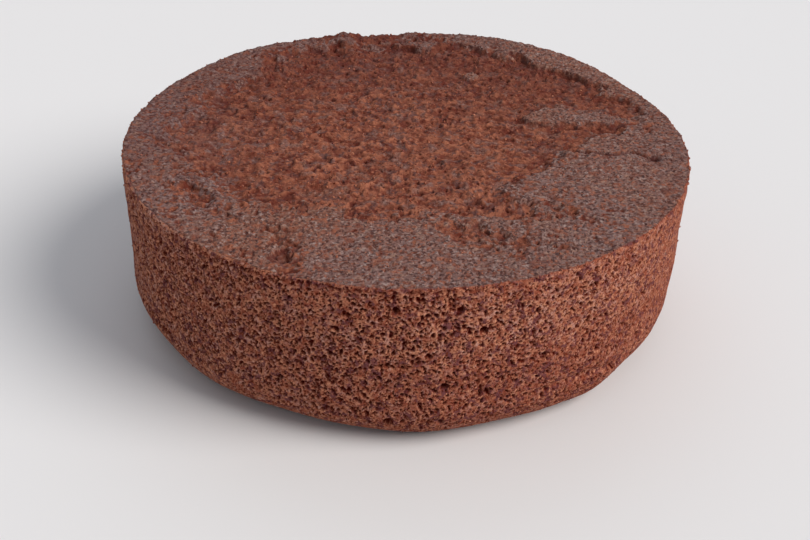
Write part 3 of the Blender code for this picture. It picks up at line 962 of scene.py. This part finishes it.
# Painted shade in the pores of the underside.
marks = {"skin": 0 * x, "painted_shade": 0.8 * painted_shade * within, "raised_highlight": raised_highlight, "grey_and_sheen": 0 * x}
closed_piece("underside", points, back, marks, crumb_wall)


# LOOSE CRUMBS
# Bits of sponge that came off with the lining paper and the tin, and stuck where they fell: on the bare
# crumb, along the skin's edge, round the rim and on the wall. Each is a small, uneven lump, half sunk in.

# Crumbs on the top: the share of its area that gets them, the places tried, the chance that one is kept on
# skin, how much more that is on bare crumb, and how many are kept. Then how many are on the rim, from so
# many rows under it, and on the wall, from so many rows above the base.
CRUMB_AREA = 0.94
CRUMBS_TRIED = 9000
SHARE_ON_SKIN = 0.08
SHARE_ON_CRUMB = 0.5
CRUMBS_ON_TOP = 1500
CRUMBS_ON_RIM = 260
ROWS_UNDER_RIM = 2
CRUMBS_ON_WALL = 600
ROWS_ABOVE_BASE = 8

# Their smallest and largest radius, and how many lie in a row on the bake map.
SMALLEST_CRUMB = 0.2 * MM
LARGEST_CRUMB = 0.55 * MM
CRUMB_MAP_SIDE = 52

rng = np.random.RandomState(52)
reach = np.sqrt(rng.uniform(0, CRUMB_AREA, CRUMBS_TRIED)) * TOP_RADIUS
turn = rng.uniform(-math.pi, math.pi, CRUMBS_TRIED)
x, y = reach * np.cos(turn), reach * np.sin(turn)
height, marks = top_surface(x, y)
chance = SHARE_ON_SKIN + SHARE_ON_CRUMB * (1 - marks["skin"])
kept = np.flatnonzero(rng.uniform(0, 1, CRUMBS_TRIED) < chance)[:CRUMBS_ON_TOP]
on_top = np.stack([x[kept], y[kept], height[kept]], axis=1)
turn = rng.uniform(-math.pi, math.pi, CRUMBS_ON_RIM)
row = rng.uniform(FOOT_ROWS + WALL_ROWS - ROWS_UNDER_RIM, rows - 1, CRUMBS_ON_RIM)
on_rim = wall_surface(turn[None], row[None])[0][0]
turn = rng.uniform(-math.pi, math.pi, CRUMBS_ON_WALL)
row = rng.uniform(ROWS_ABOVE_BASE, FOOT_ROWS + WALL_ROWS, CRUMBS_ON_WALL)
on_wall = wall_surface(turn[None], row[None])[0][0]
middles = np.concatenate([on_top, on_rim, on_wall])

# One lump is an icosahedron: twelve corners from three golden rectangles, and a face wherever three of them
# are neighbours. Each crumb is that lump, pulled uneven, turned at random and scaled.
golden = (1 + math.sqrt(5)) / 2
lump_points = []
for near, far in itertools.product((-1, 1), (-golden, golden)):
    lump_points += [(near, far, 0), (0, near, far), (far, 0, near)]
lump_points = np.array(lump_points) / math.hypot(1, golden)
lump_corners = len(lump_points)
side_squared = 4 / math.hypot(1, golden) ** 2
lump_faces = []
for a, b, c in itertools.combinations(range(lump_corners), 3):
    squares = [((lump_points[p] - lump_points[q]) ** 2).sum() for p, q in ((a, b), (b, c), (c, a))]
    if max(squares) < 1.01 * side_squared:
        outward = np.linalg.det(lump_points[[a, b, c]]) > 0
        lump_faces.append((a, b, c) if outward else (a, c, b))
lump_faces = np.array(lump_faces)

crumb_count = len(middles)
size = SMALLEST_CRUMB + (LARGEST_CRUMB - SMALLEST_CRUMB) * rng.uniform(0, 1, crumb_count) ** 2
uneven = rng.uniform(0.65, 1.3, (crumb_count, lump_corners, 1)) * rng.uniform(0.75, 1.2, (crumb_count, 1, 3))
axes = np.linalg.qr(rng.normal(size=(crumb_count, 3, 3)))[0]
axes = axes * np.sign(np.linalg.det(axes))[:, None, None]
every = (lump_points[None] * uneven) @ axes * size[:, None, None] + middles[:, None]
every[..., 2] = np.maximum(every[..., 2], 0)
faces = (lump_faces[None] + lump_corners * np.arange(crumb_count)[:, None, None]).reshape(-1, 3)
crumb_mesh = bpy.data.meshes.new("loose_crumbs")
crumb_mesh.from_pydata(every.reshape(-1, 3).tolist(), [], faces.tolist())

# The bake map is a square lattice of cells, one for each crumb, with its twenty faces in four rows of five.
cell_x, cell_y = np.arange(crumb_count) % CRUMB_MAP_SIDE, np.arange(crumb_count) // CRUMB_MAP_SIDE
number = np.arange(len(lump_faces))
small_x, small_y = number % 5 / 5, number // 5 / 4
corner = np.array([(0.02, 0.03), (0.18, 0.03), (0.1, 0.22)])
places = np.stack([cell_x[:, None] + small_x, cell_y[:, None] + small_y], axis=-1)[:, :, None] + corner
layer = crumb_mesh.uv_layers.new(name="OFBake")
layer.uv.foreach_set("vector", (places / CRUMB_MAP_SIDE).astype(np.float32).ravel())
crumb_tones = {"skin": 0, "painted_shade": 0, "grey_and_sheen": 0, "raised_highlight": rng.uniform(0, 0.45, crumb_count)}
for mark, tone in crumb_tones.items():
    filled = np.repeat(np.broadcast_to(tone, crumb_count), lump_corners).astype(np.float32)
    crumb_mesh.attributes.new(mark, "FLOAT", "POINT").data.foreach_set("value", filled)
crumb_mesh.materials.append(crumb_wall)
loose_crumbs = bpy.data.objects.new("loose_crumbs", crumb_mesh)
bpy.context.scene.collection.objects.link(loose_crumbs)
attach(loose_crumbs, "root")


# THE STUDIO
# A pale, matt floor under soft light, and a camera that looks down on the cake from the front.

FLOOR_HALF = 20.0
FLOOR_LEVEL = -0.1 * MM
FLOOR_ROUGHNESS = 0.7
pale_floor = bpy.data.materials.new("pale_floor")
pale_floor.use_nodes = True
floor_shader = pale_floor.node_tree.nodes["Principled BSDF"]
floor_shader.inputs["Base Color"].default_value = linear("#e6e6e8")
floor_shader.inputs["Roughness"].default_value = FLOOR_ROUGHNESS
floor_mesh = bpy.data.meshes.new("floor")
ends = (-FLOOR_HALF, FLOOR_HALF)
corners = [(ends[0], ends[0]), (ends[1], ends[0]), (ends[1], ends[1]), (ends[0], ends[1])]
floor_mesh.from_pydata([(x, y, FLOOR_LEVEL) for x, y in corners], [], [(0, 1, 2, 3)])
floor_mesh.materials.append(pale_floor)
floor = bpy.data.objects.new("floor", floor_mesh)
bpy.context.scene.collection.objects.link(floor)


def soft_light(name, azimuth, elevation, strength, spread, colour):
    """Light that comes from everywhere within half its spread of one direction, in degrees."""
    light = bpy.data.lights.new(name, "SUN")
    light.energy, light.angle, light.color = strength, math.radians(spread), linear(colour)[:3]
    lamp = bpy.data.objects.new(name, light)
    lamp.rotation_euler = 0, math.radians(90 - elevation), math.radians(azimuth)
    bpy.context.scene.collection.objects.link(lamp)


soft_light("window", azimuth=-20, elevation=40, strength=2.8, spread=38, colour="#fffaf4")
soft_light("back_window", azimuth=96, elevation=35, strength=0.35, spread=60, colour="#eef4ff")
world = bpy.data.worlds.new("studio")
world.use_nodes = True
world.node_tree.nodes["Background"].inputs["Color"].default_value = linear("#f2f4f8")
world.node_tree.nodes["Background"].inputs["Strength"].default_value = 0.42
bpy.context.scene.world = world
bpy.context.scene.view_settings.view_transform = "Standard"

# The camera, fitted to the cake's outline: its focal length in pixels of an image this wide, its sensor in
# millimetres, how far off and how high above the middle of the base it is, and its own turns.
FOCAL_PIXELS = 1350.0
IMAGE_WIDTH = 810
SENSOR = 36.0
DISTANCE = 0.5145
ELEVATION = math.radians(32.44)
PITCH = math.radians(31.85)
YAW = math.radians(0.04)
ROLL = math.radians(1.106)

forward = np.array([math.sin(YAW) * math.cos(PITCH), math.cos(YAW) * math.cos(PITCH), -math.sin(PITCH)])
level = np.array([math.cos(YAW), -math.sin(YAW), 0.0])
upright = np.cross(level, forward)
right = math.cos(ROLL) * level + math.sin(ROLL) * upright
top = -math.sin(ROLL) * level + math.cos(ROLL) * upright
lens = bpy.data.cameras.new("camera")
lens.sensor_width = SENSOR
lens.lens = FOCAL_PIXELS * SENSOR / IMAGE_WIDTH
camera = bpy.data.objects.new("camera", lens)
matrix = np.eye(4)
matrix[:3, 0], matrix[:3, 1], matrix[:3, 2] = right, top, -forward
matrix[:3, 3] = 0.0, -DISTANCE * math.cos(ELEVATION), DISTANCE * math.sin(ELEVATION)
camera.matrix_world = matrix.T.tolist()
bpy.context.scene.collection.objects.link(camera)
bpy.context.scene.camera = camera
